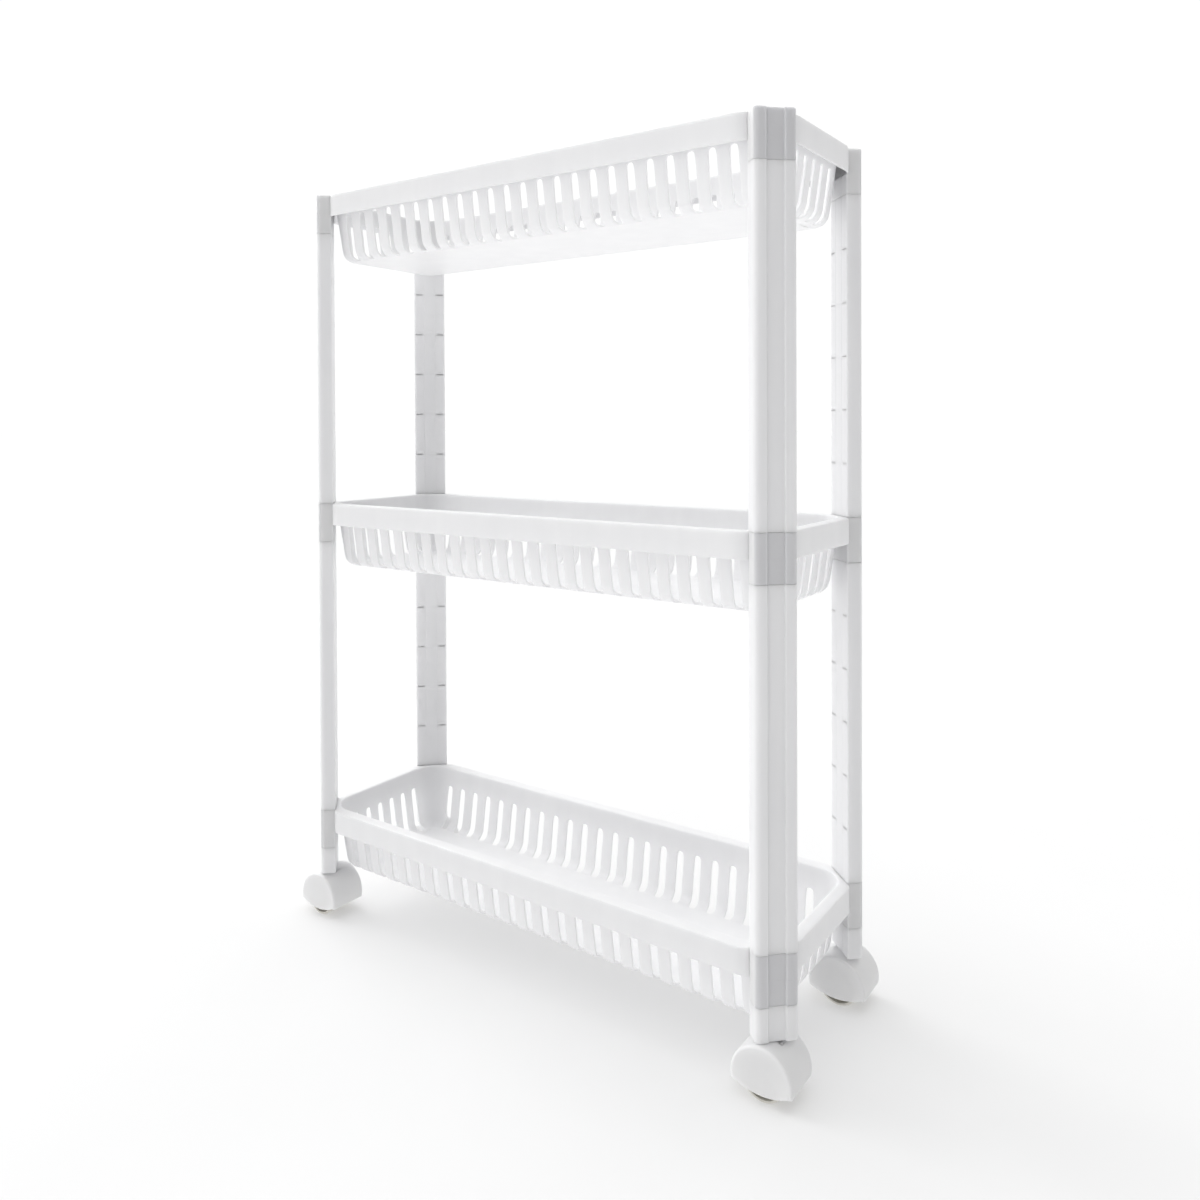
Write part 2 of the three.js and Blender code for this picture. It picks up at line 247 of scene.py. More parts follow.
def witness_line(z):
    """Ring insets and heights of a fine line moulded round a socket."""
    return [(0, z - 0.35), (LINE_DEPTH, z - 0.1), (LINE_DEPTH, z + 0.1), (0, z + 0.35)]


def sleeve(outline, bore, low, high, line):
    """Tube with a fine line round it. Its bore has as many points as its outer outline."""
    foot, head = eased_ends(low, high, END_ROUNDING)
    rings = [at_height(inset(outline, depth), z) for depth, z in foot + witness_line(line) + head]
    rings += [at_height(bore, high), at_height(bore, low)]
    return loft(rings, closed=True)


def cup(outline, bore, low, high, line):
    """Tube closed at its top by a roof and open at the bottom, with a fine line round it."""
    r = CROWN_ROUNDING
    rings = [at_height(bore, high - WALL), at_height(bore, low)]
    outer = [(r, low), (0, low + r), *witness_line(line)]
    outer += [(0, high - 1.6 * r), (0.5 * r, high - 0.5 * r), (1.6 * r, high)]
    rings += [at_height(inset(outline, depth), z) for depth, z in outer]
    return loft(rings)


def box_part(low, high):
    (x0, y0, z0), (x1, y1, z1) = low, high
    base = [Vector((x0, y0)), Vector((x1, y0)), Vector((x1, y1)), Vector((x0, y1))]
    return loft([at_height(base, z0), at_height(base, z1)])


def lathe(profile, sides, closed=True):
    """Turns a profile of (radius, z) about Z: a closed one makes a ring, an open one is capped."""
    rings = []
    for radius, z in profile:
        ring = []
        for i in range(sides):
            angle = 2 * math.pi * i / sides
            ring.append(Vector((radius * math.cos(angle), radius * math.sin(angle), z)))
        rings.append(ring)
    return loft(rings, capped=not closed, closed=closed)


def mesh_of(name, part, sharp_degrees):
    """A Blender mesh in metres, faces turned outward, smooth but for its sharp edges."""
    points, faces = part
    mesh = bpy.data.meshes.new(name)
    mesh.from_pydata([Vector(p) * MM for p in points], [], faces)
    work = bmesh.new()
    work.from_mesh(mesh)
    bmesh.ops.remove_doubles(work, verts=work.verts, dist=1e-7)
    bmesh.ops.dissolve_degenerate(work, edges=work.edges, dist=1e-7)
    bmesh.ops.recalc_face_normals(work, faces=work.faces)
    work.to_mesh(mesh)
    work.free()
    mesh.polygons.foreach_set("use_smooth", [True] * len(mesh.polygons))
    mesh.set_sharp_from_angle(angle=math.radians(sharp_degrees))
    mesh.update()
    return mesh


def piece(name, mesh, material, body, slot, stands_for):
    """Puts a mesh in the scene as a piece of the object on its CAD body, in place of its CAD node."""
    thing = bpy.data.objects.new(name, mesh)
    bpy.context.scene.collection.objects.link(thing)
    mesh.materials.clear()
    mesh.materials.append(material)
    even = thing.modifiers.new("even_normals", "WEIGHTED_NORMAL")
    even.keep_sharp = True
    even.weight = 80
    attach(thing, body)
    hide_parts(stands_for)
    return thing


# ---------- post section ----------
def section_outline(inward=0.0):
    """Outline of posts, legs and sockets, taken in by inward, with two fine seams down the inner face."""
    half = POST_HALF - inward
    inner_face = -SECTION_OUT + inward
    outer_face = SECTION_OUT - inward
    flute_floor = outer_face - FLUTE_DEPTH
    flute_edge = FLUTE_HALF + inward
    flute_foot = flute_edge - FLUTE_SLOPE
    inner_radius = max(INNER_EDGE_RADIUS - inward, LEAST_RADIUS)
    lip_radius = max(FLUTE_RADIUS - inward, LEAST_RADIUS)
    seams = []
    for middle in (-SEAM_HALF, SEAM_HALF):
        seams.append((middle - SEAM_WIDTH, inner_face, 0))
        seams.append((middle, inner_face + SEAM_DEPTH, 0))
        seams.append((middle + SEAM_WIDTH, inner_face, 0))
    return filleted([
        (-half, inner_face, inner_radius),
        *seams,
        (half, inner_face, inner_radius),
        (half, outer_face, POST_EDGE_RADIUS - inward),
        (flute_edge, outer_face, lip_radius),
        (flute_foot, flute_floor, FLUTE_RADIUS),
        (-flute_foot, flute_floor, FLUTE_RADIUS),
        (-flute_edge, outer_face, lip_radius),
        (-half, outer_face, POST_EDGE_RADIUS - inward),
    ])


def spigot_outline():
    """Outline of the plug that fills a socket's bore, all but the gap round it."""
    half = POST_HALF - POST_WALL - GAP
    low = -SECTION_OUT + POST_WALL + GAP
    high = SECTION_OUT - FLUTE_DEPTH - POST_WALL - GAP
    r = SPIGOT_ROUNDING
    return filleted([(-half, low, r), (half, low, r), (half, high, r), (-half, high, r)], steps=3)


def rib_mark(x0, x1, z):
    """One short raised mark on the inner face, its edges sloping in as it rises."""
    rings = []
    for out, trim in ((-RIB_ROOT, 0), (0.4 * RIB_PROUD, 0.05), (RIB_PROUD, 0.3)):
        y = -SECTION_OUT - out
        left, right = x0 + trim, x1 - trim
        low, high = z - RIB_HEIGHT / 2 + trim, z + RIB_HEIGHT / 2 - trim
        corners = ((left, low), (right, low), (right, high), (left, high))
        rings.append([Vector((x, y, height)) for x, height in corners])
    return loft(rings)


def rib_marks(low, high):
    """Witness marks of the inner ribs, just proud of the inner face beside its edges."""
    marks = []
    count = int((high - low) // RIB_PITCH)
    first = (low + high) / 2 - (count - 1) / 2 * RIB_PITCH
    for i in range(count):
        for side in (-1, 1):
            outer = side * (POST_HALF - RIB_INSET)
            x0, x1 = sorted((outer - side * RIB_LENGTH, outer))
            marks.append(rib_mark(x0, x1, first + i * RIB_PITCH))
    return marks


def corner_matrix(corner):
    sx, sy = CORNERS[corner]
    turn = math.atan2(sy, sx) - math.pi / 2
    return Matrix.Translation((sx * POST_X, sy * POST_Y, 0)) @ Matrix.Rotation(turn, 4, "Z")


def post_part(bottom, top):
    """A post with a spigot at each end."""
    spigots = [
        bar(spigot_outline(), bottom - SPIGOT_LENGTH, bottom + SPIGOT_ROOT),
        bar(spigot_outline(), top - SPIGOT_ROOT, top + SPIGOT_LENGTH),
    ]
    return joined([bar(section_outline(), bottom, top), *spigots, *rib_marks(bottom, top)])


def leg_part(bottom, top):
    """A leg with a spigot at its top only."""
    spigot = bar(spigot_outline(), top - SPIGOT_ROOT, top + SPIGOT_LENGTH)
    return joined([bar(section_outline(), bottom, top), spigot])


# ---------- trays, with the rim's top face at z = 0 ----------
def band_reach(direction, margin, cut):
    """How far a ray from the core rectangle goes before it meets the band's outline.

    The outline is taken in by margin on its sides and by cut at its corners.
    """
    nx, ny = abs(direction[0]), abs(direction[1])
    limits = []
    if nx > 1e-6:
        limits.append((BAND_X - margin - CORE_X) / nx)
    if ny > 1e-6:
        limits.append((BAND_Y - margin - CORE_Y) / ny)
    if nx > 1e-6 and ny > 1e-6:
        limits.append((POST_X + POST_Y - math.sqrt(2) * cut - CORE_X - CORE_Y) / (nx + ny))
    return min(limits)


def slot_lines(count, pitch, half):
    """Lines across a wall, as (position, part, slot half width).

    Each slot has its two sides, its middle and a guard line beyond each side.
    """
    guard = half + SLOT_GUARD
    offsets = ((-guard, "guard"), (-half, "left"), (0, "middle"), (half, "right"), (guard, "guard"))
    lines = []
    for i in range(count):
        centre = (i - (count - 1) / 2) * pitch
        lines += [(centre + offset, part, half) for offset, part in offsets]
    return lines


def perimeter():
    """Anticlockwise stations round the tub.

    Each is (core point, outward direction, slot part, slot half width, tangent).
    """
    stations = []
    sides = slot_lines(*SIDE_SLOTS)
    ends = slot_lines(*END_SLOTS)
    other_side = {"left": "right", "right": "left"}
    walls = (
        (0, [(Vector((CORE_X, y)), part, half) for y, part, half in ends]),
        (90, [(Vector((x, CORE_Y)), part, half) for x, part, half in reversed(sides)]),
        (180, [(Vector((-CORE_X, y)), part, half) for y, part, half in reversed(ends)]),
        (270, [(Vector((x, -CORE_Y)), part, half) for x, part, half in sides]),
    )
    for degrees, wall in walls:
        angle = math.radians(degrees)
        outward = Vector((round(math.cos(angle)), round(math.sin(angle))))
        tangent = Vector((-outward.y, outward.x))
        for core, part, half in wall:
            if degrees in (90, 180):
                part = other_side.get(part, part)
            stations.append((core, outward, part, half, tangent))
        corner = Vector(((outward.x + tangent.x) * CORE_X, (outward.y + tangent.y) * CORE_Y))
        for k in range(CORNER_STEPS + 1):
            turn = math.radians(degrees + 90 * k / CORNER_STEPS)
            direction = Vector((math.cos(turn), math.sin(turn)))
            stations.append((corner, direction, "corner", 0, Vector((0, 0))))
    return stations


class TubProfile:
    """Outer or inner face of the tub from floor to rim, as reach and height along its length."""

    def __init__(self, depth_in):
        lean = math.atan2(TUB_DRAFT, TUB_DEPTH - TUB_FILLET + 0.5)
        self.sweep = math.pi / 2 - lean
        self.radius = TUB_FILLET - depth_in
        self.floor = -TUB_DEPTH + depth_in
        along = Vector((math.sin(lean), math.cos(lean)))
        out = Vector((math.cos(lean), -math.sin(lean)))
        top = Vector((TUB_REACH, 0)) - out * depth_in
        # The fillet's centre sits one radius inside the wall and one radius above the floor.
        shifted = top - out * self.radius
        step = (self.floor + self.radius - shifted.y) / along.y
        self.centre = shifted + along * step
        self.along = along
        self.wall_foot = self.centre + out * self.radius
        self.fillet_length = self.radius * self.sweep

    def at(self, length):
        """length is 0 where the flat floor ends, negative on the floor."""
        if length <= 0:
            return Vector((self.centre.x + length, self.floor))
        if length < self.fillet_length:
            angle = length / self.radius
            return self.centre + self.radius * Vector((math.sin(angle), -math.cos(angle)))
        return self.wall_foot + self.along * (length - self.fillet_length)

    def length_at(self, height):
        return self.fillet_length + (height - self.wall_foot.y) / self.along.y


def station_lengths(profile):
    """Lengths of the horizontal lines on one face of the tub, and which of them bound the slots."""
    half = SIDE_SLOTS[2]
    tail = SLOT_TAIL * (profile.radius / TUB_FILLET)
    top = profile.length_at(-SLOT_TOP)
    lines = [FLOOR_START - profile.centre.x, -FLOOR_GUARD, tail - SLOT_LIP, tail, tail + half]
    arc = profile.fillet_length
    for k in range(1, 4):
        lines.append(tail + half + (arc - tail - half) * k / 3)
    for k in range(1, 3):
        lines.append(arc + (top - half - arc) * k / 2)
    lines += [top, top + SLOT_LIP]
    return lines, lines.index(tail), lines.index(top)


def wall_row(profile, stations, length, bend):
    """One row of the tub's face. Bend is 1 at the slots' lower ends, -1 at their upper ends, or 0."""
    ring = []
    for core, outward, part, half, tangent in stations:
        shift, slide = 0.0, 0.0
        if bend and part in ("left", "right"):
            corner = half * (1 - math.sqrt(0.5))
            slide = corner if part == "left" else -corner
            shift = corner * bend
        reach, height = profile.at(length + shift)
        place = core + outward * reach + tangent * slide
        ring.append(Vector((place.x, place.y, height)))
    return ring


def rim_row(stations, wall_reach, margin, cut, height, share, beyond):
    """One row of the rim or band: a share of the way out from the wall, or beyond the band's face."""
    ring = []
    for core, outward, _part, _half, _tangent in stations:
        far = band_reach(outward, margin, cut)
        reach = far + beyond if share is None else wall_reach + (far - wall_reach) * share
        place = core + outward * reach
        ring.append(Vector((place.x, place.y, height)))
    return ring


def face_points(profile, stations, margin, cut, rim_rows):
    """Rows of points round one face of the tray's shell, from the floor to the band's lower edge.

    Also gives the numbers of the rows at the slots' lower and upper ends.
    """
    lines, tail, top = station_lengths(profile)
    bends = {tail: 1, top: -1}
    rows = [wall_row(profile, stations, line, bends.get(r, 0)) for r, line in enumerate(lines)]
    wall_reach = profile.at(profile.length_at(rim_rows[0][0])).x
    rows += [rim_row(stations, wall_reach, margin, cut, *rim) for rim in rim_rows]
    return rows, tail, top


def tray_shell():
    """Tub, rim and hanging band in one closed shell, with slots through the tub's walls and fillet."""
    stations = perimeter()
    count = len(stations)
    hem = [(-BAND_HEIGHT / 2, None, 0), (-BAND_HEIGHT + 0.6, None, 0), (-BAND_HEIGHT, None, 0)]
    under = [(-WALL - 1.2, 0.0, 0), (-WALL, 0.06, 0), (-WALL, 0.5, 0)]
    under += [(-WALL, None, -0.9), (-WALL, None, 0), (-WALL - 0.9, None, 0)]
    over = [(-1.8, 0.0, 0), (0.0, 0.09, 0), (0.0, 0.3, 0), (0.0, 0.6, 0)]
    over += [(0.0, None, -RIM_TURN), (0.0, None, 0), (-RIM_TURN, None, 0)]
    outer, tail, top = face_points(TubProfile(0), stations, WALL, CUT_INNER, under + hem)
    inner, _, _ = face_points(TubProfile(WALL), stations, 0, CUT_OUTER, over + hem)
    points = [p for ring in outer + inner for p in ring]
    base = {"outer": 0, "inner": len(outer) * count}

    def at(side, row, i):
        return base[side] + row * count + i % count

    def in_slot(i):
        pair = (stations[i][2], stations[(i + 1) % count][2])
        return pair in (("left", "middle"), ("middle", "right"))

    def bridge(outer_row, inner_row, i):
        near = [at("outer", outer_row, i), at("outer", outer_row, i + 1)]
        return near + [at("inner", inner_row, i + 1), at("inner", inner_row, i)]

    faces = []
    for side, rows in (("outer", outer), ("inner", inner)):
        for r in range(len(rows) - 1):
            for i in range(count):
                if not (tail <= r < top and in_slot(i)):
                    low = [at(side, r, i), at(side, r, i + 1)]
                    faces.append(low + [at(side, r + 1, i + 1), at(side, r + 1, i)])
    # Faces through the plastic: up the slots' sides, across their ends, along the band's lower edge.
    for i in range(count):
        if stations[i][2] in ("left", "right"):
            for r in range(tail, top):
                low = [at("outer", r, i), at("outer", r + 1, i)]
                faces.append(low + [at("inner", r + 1, i), at("inner", r, i)])
        if in_slot(i):
            faces += [bridge(r, r, i) for r in (tail, top)]
    faces += [bridge(len(outer) - 1, len(inner) - 1, i) for i in range(count)]
    faces += floor_faces(stations, at, points)
    return points, faces


def floor_faces(stations, at, points):
    """Closes the tub's floor inside the first row of each face.

    Strips join the two long walls, and one face fills each end.
    """
    count = len(stations)
    walls = []
    for outward in (-1, 1):
        wall = [i for i, s in enumerate(stations) if s[1].y == outward and s[2] != "corner"]
        walls.append(sorted(wall, key=lambda i: stations[i][0].x))
    front, back = walls
    faces = []
    for side in ("outer", "inner"):
        columns = []
        for f, b in zip(front, back):
            start, end = at(side, 0, f), at(side, 0, b)
            between = range(len(points), len(points) + FLOOR_ROWS - 1)
            points += [points[start].lerp(points[end], k / FLOOR_ROWS) for k in range(1, FLOOR_ROWS)]
            columns.append([start, *between, end])
        for left, right in zip(columns, columns[1:]):
            faces += [[left[k], right[k], right[k + 1], left[k + 1]] for k in range(FLOOR_ROWS)]
        right_end = [at(side, 0, i) for i in range(front[-1], back[-1] + count + 1)]
        left_end = [at(side, 0, i) for i in range(back[0], front[0] + 1)]
        faces.append(right_end + list(reversed(columns[-1][1:-1])))
        faces.append(left_end + columns[0][1:-1])
    return faces


def smoothed(name, part, levels):
    """The part's mesh after Catmull-Clark subdivision, as points in millimetres and faces."""
    mesh = mesh_of(name, part, 180)
    carrier = bpy.data.objects.new(name, mesh)
    bpy.context.scene.collection.objects.link(carrier)
    smoother = carrier.modifiers.new("smooth", "SUBSURF")
    smoother.levels = levels
    smoother.render_levels = levels
    graph = bpy.context.evaluated_depsgraph_get()
    finished = carrier.evaluated_get(graph).to_mesh()
    points = [v.co / MM for v in finished.vertices]
    faces = [list(p.vertices) for p in finished.polygons]
    carrier.evaluated_get(graph).to_mesh_clear()
    bpy.data.objects.remove(carrier)
    bpy.data.meshes.remove(mesh)
    return points, faces


def socket_part(corner, closed_top):
    """A tray's corner socket, in its place with the rim's top face at z = 0."""
    outline = section_outline()
    bore = section_outline(SOCKET_WALL)
    if closed_top:
        tube = cup(outline, bore, -SOCKET_HEIGHT, 0, SPIGOT_LENGTH - SOCKET_HEIGHT)
    else:
        tube = sleeve(outline, bore, -SOCKET_HEIGHT, 0, -SOCKET_HEIGHT / 2)
    return moved(tube, corner_matrix(corner))


# ---------- caster ----------
def hood_face(radius, half_width, fillet):
    """One face of the hood, as columns that cross it from one side's lower edge to the other's."""
    centre = Vector((TRAIL, 0, HOOD_TOP - HOOD_RADIUS))
    drop = math.asin((centre.z - HOOD_CORNER_Z) / HOOD_RADIUS)
    corner_z = centre.z - (radius - fillet) * math.sin(drop)
    reach = (radius - fillet) * math.cos(drop)
    flat = half_width - fillet
    side_rows, top_rows, fillet_rows = 6, 6, 5
    grid = []
    for i in range(HOOD_COLUMNS + 1):
        angle = -drop + (math.pi + 2 * drop) * i / HOOD_COLUMNS
        direction = Vector((math.cos(angle), 0, math.sin(angle)))
        edge = centre + direction * (radius - fillet)
        across = math.cos(math.pi * i / HOOD_COLUMNS)
        foot_z = HOOD_BELLY_Z + (corner_z - HOOD_BELLY_Z) * across * across
        foot = Vector((TRAIL + reach * across, 0, foot_z))
        column = []
        for k in range(side_rows):
            p = foot.lerp(edge, k / side_rows)
            column.append(Vector((p.x, -half_width, p.z)))
        for k in range(fillet_rows + 1):
            turn = math.pi / 2 * k / fillet_rows
            p = centre + direction * (radius - fillet + fillet * math.sin(turn))
            column.append(Vector((p.x, -half_width + fillet * (1 - math.cos(turn)), p.z)))
        for k in range(1, top_rows):
            p = centre + direction * radius
            column.append(Vector((p.x, -flat + 2 * flat * k / top_rows, p.z)))
        near_side = column[: side_rows + fillet_rows + 1]
        grid.append(column + [Vector((p.x, -p.y, p.z)) for p in reversed(near_side)])
    return grid


def hood_part():
    """Hood with its two D-shaped sides, open underneath, and the web that holds stem and axle."""
    outer = hood_face(HOOD_RADIUS, HOOD_HALF_WIDTH, HOOD_FILLET)
    inner = hood_face(HOOD_RADIUS - HOOD_WALL, HOOD_HALF_WIDTH - HOOD_WALL, 0.5)
    rows = len(outer[0])
    points = [p for column in outer + inner for p in column]

    def at(face, i, k):
        return (face * len(outer) + i) * rows + k

    faces = []
    for face in (0, 1):
        for i in range(HOOD_COLUMNS):
            for k in range(rows - 1):
                near = [at(face, i, k), at(face, i + 1, k)]
                faces.append(near + [at(face, i + 1, k + 1), at(face, i, k + 1)])
    for i in range(HOOD_COLUMNS):
        for k in (0, rows - 1):
            faces.append([at(0, i, k), at(0, i + 1, k), at(1, i + 1, k), at(1, i, k)])
    for k in range(rows - 1):
        for i in (0, HOOD_COLUMNS):
            faces.append([at(0, i, k), at(0, i, k + 1), at(1, i, k + 1), at(1, i, k)])
    low_x, high_x = -WEB_REACH, TRAIL + WEB_REACH
    corners = ((low_x, -WEB_HALF), (high_x, -WEB_HALF), (high_x, WEB_HALF), (low_x, WEB_HALF))
    web_outline = filleted([(x, y, 0.8) for x, y in corners], steps=3)
    web_low = WHEEL_RADIUS - AXLE_RADIUS - WEB_BELOW_AXLE
    web = bar(web_outline, web_low, HOOD_TOP - HOOD_WALL + 0.4, 0.4)
    return joined([(points, faces), web])


def wheel_part():
    """Wheel about Z: flat inner face at z = 0, dished outer side with a hub and ribs."""
    width, radius, hub, web = WHEEL_WIDTH, WHEEL_RADIUS, WHEEL_HUB, WHEEL_WEB
    bore = AXLE_RADIUS + 0.06
    rim = radius - WHEEL_RIM
    inner_face = [(bore, 0.3), (bore + 0.3, 0), (rim - 1, 0), (radius - 1.1, 0)]
    tread = [(radius - 0.35, 0.3), (radius, 1.0), (radius, width / 2), (radius, width - 1.0)]
    shoulder = [(radius - 0.35, width - 0.3), (radius - 1.0, width), (rim + 0.25, width)]
    dish = [(rim, width - 0.25), (rim - 0.15, web + 0.6), (rim - 0.7, web), (hub + 0.6, web)]
    boss = [(hub, web + 0.6), (hub - 0.15, width - 2.0), (hub - 0.5, width - 1.6)]
    mouth = [(bore + 0.3, width - 1.6), (bore, width - 1.9)]
    parts = [lathe(inner_face + tread + shoulder + dish + boss + mouth, 96)]
    for i in range(WHEEL_RIBS):
        rib = box_part((hub - 0.5, -0.55, web - 0.3), (rim + 0.3, 0.55, web + 3.6))
        turn = math.radians(360 / WHEEL_RIBS * i + 15)
        parts.append(moved(rib, Matrix.Rotation(turn, 4, "Z")))
    return joined(parts)


def stem_part():
    """Steel stem about Z, with a seat pressed into the hood and a groove for its snap ring."""
    seat = STEM_RADIUS - GAP
    groove = STEM_RADIUS - GROOVE_DEPTH
    low, high = RING_Z - GAP / 2, RING_Z + RING_HEIGHT + GAP / 2
    press = [(seat - 0.5, STEM_BOTTOM), (seat, STEM_BOTTOM + 0.5), (seat, HOOD_TOP)]
    shank = [(STEM_RADIUS, HOOD_TOP + 0.3), (STEM_RADIUS, low), (groove, low), (groove, high)]
    tip = [(STEM_RADIUS, high), (STEM_RADIUS, STEM_TOP - 1.2)]
    tip += [(STEM_RADIUS - 0.4, STEM_TOP - 0.4), (STEM_RADIUS - 1.2, STEM_TOP)]
    return lathe(press + shank + tip, 40, closed=False)


def ring_part():
    """Snap ring about Z, with eased edges."""
    inner, outer = STEM_RADIUS - 0.45, STEM_RADIUS + 0.35
    top = RING_Z + RING_HEIGHT
    lower = [(inner, RING_Z + 0.15), (inner + 0.15, RING_Z), (outer - 0.2, RING_Z), (outer, RING_Z + 0.2)]
    upper = [(outer, top - 0.2), (outer - 0.2, top), (inner + 0.15, top), (inner, top - 0.15)]
    return lathe(lower + upper, 40)


def axle_part():
    """Axle pin about Z, with domed ends."""
    half = WHEEL_INNER_FACE + WHEEL_WIDTH - 1
    end = [(AXLE_RADIUS - 0.9, half), (AXLE_RADIUS - 0.3, half - 0.15), (AXLE_RADIUS, half - 0.6)]
    other = [(radius, -z) for radius, z in end]
    return lathe(other + list(reversed(end)), 32, closed=False)


def caster_matrix(corner):
    """Where a caster stands and which way it rolls, read from the frame's own joints."""
    joints = {joint["name"]: joint for joint in frame["record"]["behaviour"]["joints"]}
    stem = Vector(joints[f"swivel_{corner}"]["pos_m"]) / MM
    axis = joints[f"spin_left_{corner}"]["axis"]
    turn = math.atan2(-axis[0], axis[1])
    return Matrix.Translation((stem.x, stem.y, 0)) @ Matrix.Rotation(turn, 4, "Z")


# ---------- materials ----------
# Painted shade on the sockets: their base colour is multiplied by this tone, fading in over the given
# distances in mm along the corner's diagonal.
SOCKET_PAINTED_SHADE_TONE = (0.82, 0.82, 0.835)
SOCKET_PAINTED_SHADE_FROM = 3.6
SOCKET_PAINTED_SHADE_FADE = 1.2
GLOW_DEPTH = 0.004
PLASTIC_IOR = 1.49


class Nodes:
    """Short names for building one node material."""

    def __init__(self, name):
        self.material = bpy.data.materials.new(name)
        self.material.use_nodes = True
        self.tree = self.material.node_tree
        self.shader = self.tree.nodes["Principled BSDF"]
        self.place = self.tree.nodes.new("ShaderNodeTexCoord").outputs["Object"]

    def add(self, kind, inputs=None, **settings):
        """Adds a node, with its inputs set to numbers or linked to other nodes' outputs."""
        node = self.tree.nodes.new(kind)
        for key, value in settings.items():
            setattr(node, key, value)
        for key, value in (inputs or {}).items():
            self.feed(node.inputs[key], value)
        return node

    def feed(self, socket, value):
        if hasattr(value, "is_output"):
            self.tree.links.new(value, socket)
        else:
            socket.default_value = value

    def noise(self, scale, detail=3.0, roughness=0.5, stretch=(1, 1, 1)):
        """Noise in the object's own coordinates, about 0.3 to 0.7."""
        spread = self.add("ShaderNodeMapping", {"Vector": self.place, "Scale": stretch})
        inputs = {"Vector": spread.outputs["Vector"], "Scale": scale}
        inputs.update({"Detail": detail, "Roughness": roughness})
        return self.add("ShaderNodeTexNoise", inputs).outputs["Fac"]

    def spread(self, value, low, high):
        """Stretches noise to run from low to high."""
        inputs = {"Value": value, "From Min": 0.3, "From Max": 0.7, "To Min": low, "To Max": high}
        return self.add("ShaderNodeMapRange", inputs).outputs["Result"]

    def blend(self, factor, first, second, way="MIX"):
        """Mixes two colours. Each is a tuple of three numbers or a node's output."""
        mix = self.add("ShaderNodeMix", {"Factor": factor}, data_type="RGBA", blend_type=way)
        for key, colour in (("A", first), ("B", second)):
            self.feed(mix.inputs[key], (*colour, 1) if isinstance(colour, tuple) else colour)
        return mix.outputs["Result"]

    def math(self, operation, *values):
        """The result of an arithmetic node on numbers or outputs."""
        node = self.add("ShaderNodeMath", dict(enumerate(values)), operation=operation)
        return node.outputs["Value"]

    def bump(self, height, distance, strength, under=None):
        inputs = {"Height": height, "Distance": distance, "Strength": strength}
        if under is not None:
            inputs["Normal"] = under
        return self.add("ShaderNodeBump", inputs).outputs["Normal"]

    def put(self, **sockets):
        """Sets or links the shader's sockets, named with _ for each space."""
        for key, value in sockets.items():
            self.feed(self.shader.inputs[key.replace("_", " ")], value)


def paint_socket_shade(mesh):
    """Sets painted shade on the sockets' broad outer faces, where two walls overlap and less light shows
    through.
    """
    # Painted shade weight per point: 0 away from the sockets, 1 on their broad outer faces.
    shade = mesh.attributes.new("socket_painted_shade", "FLOAT", "POINT")
    for vertex, entry in zip(mesh.vertices, shade.data):
        out = (abs(vertex.co.x) / MM - POST_X + abs(vertex.co.y) / MM - POST_Y) / math.sqrt(2)
        entry.value = min(max((out - SOCKET_PAINTED_SHADE_FROM) / SOCKET_PAINTED_SHADE_FADE, 0.0), 1.0)


def moulded_plastic(name, pale, deep, roughness, wave, grain):
    """Semi-gloss polypropylene: cloudy whites, sink-mark waves, orange peel, flow lines and painted shade
    on the sockets.
    """
    m = Nodes(name)
    clouds = m.noise(14, 4, 0.55)
    streaks = m.noise(60, 3, 0.5, (1, 1, 0.12))
    tone = m.math("MULTIPLY_ADD", clouds, streaks, m.math("MULTIPLY", streaks, 0.3))
    white = m.blend(m.spread(tone, 0.0, 1.0), deep, pale)
    # Painted shade: the sockets' weight by which the base colour below is darkened.
    walls = m.add("ShaderNodeAttribute", attribute_name="socket_painted_shade").outputs["Fac"]
    waves = m.bump(m.noise(24, 2, 0.4), 0.0012, wave)
    m.put(
        # Painted shade: the base colour is darkened on the sockets, where less light shows through.
        Base_Color=m.blend(walls, white, SOCKET_PAINTED_SHADE_TONE, "MULTIPLY"),
        Roughness=m.spread(m.noise(45, 4, 0.6), roughness - 0.05, roughness + 0.06),
        Normal=m.bump(m.noise(900, 2, 0.5), 0.00006, grain, waves),
        IOR=PLASTIC_IOR,
        Subsurface_Weight=0.8,
        Subsurface_Radius=(GLOW_DEPTH, GLOW_DEPTH, GLOW_DEPTH),
        Subsurface_Scale=1.0,
        Specular_IOR_Level=0.45,
    )
    return m.material


def wheel_plastic():
    """Cream nylon, lightly dusty and scuffed round the tread."""
    m = Nodes("wheel_plastic_looks")
    dust = m.noise(220, 5, 0.65)
    m.put(
        Base_Color=m.blend(m.spread(dust, 0.0, 1.0), (0.66, 0.64, 0.58), (0.78, 0.76, 0.70)),
        Roughness=m.spread(dust, 0.42, 0.6),
        Normal=m.bump(m.noise(700, 4, 0.6, (1, 1, 0.25)), 0.00012, 0.5),
    )
    return m.material


def zinc_steel():
    """Zinc-plated steel, with a faint spangle and turning marks."""
    m = Nodes("zinc_steel_looks")
    spangle = m.noise(380, 3, 0.6)
    m.put(
        Base_Color=m.blend(m.spread(spangle, 0.0, 1.0), (0.47, 0.48, 0.5), (0.66, 0.67, 0.69)),
        Metallic=1.0,
        Roughness=m.spread(spangle, 0.26, 0.42),
        Normal=m.bump(m.noise(1500, 2, 0.5, (0.15, 0.15, 1)), 0.00004, 0.6),
    )
    return m.material


def floor_paint():
    """Matt studio floor that gives off some light of its own, so it stays pale and even."""
    m = Nodes("studio_floor_looks")
    m.put(
        Base_Color=m.blend(m.spread(m.noise(3, 3, 0.5), 0.0, 1.0), (0.55, 0.55, 0.55), (0.57, 0.57, 0.57)),
        Roughness=0.9,
        Specular_IOR_Level=0.0,
        Emission_Color=(1, 1, 1, 1),
        Emission_Strength=FLOOR_GLOW,
    )
    return m.material


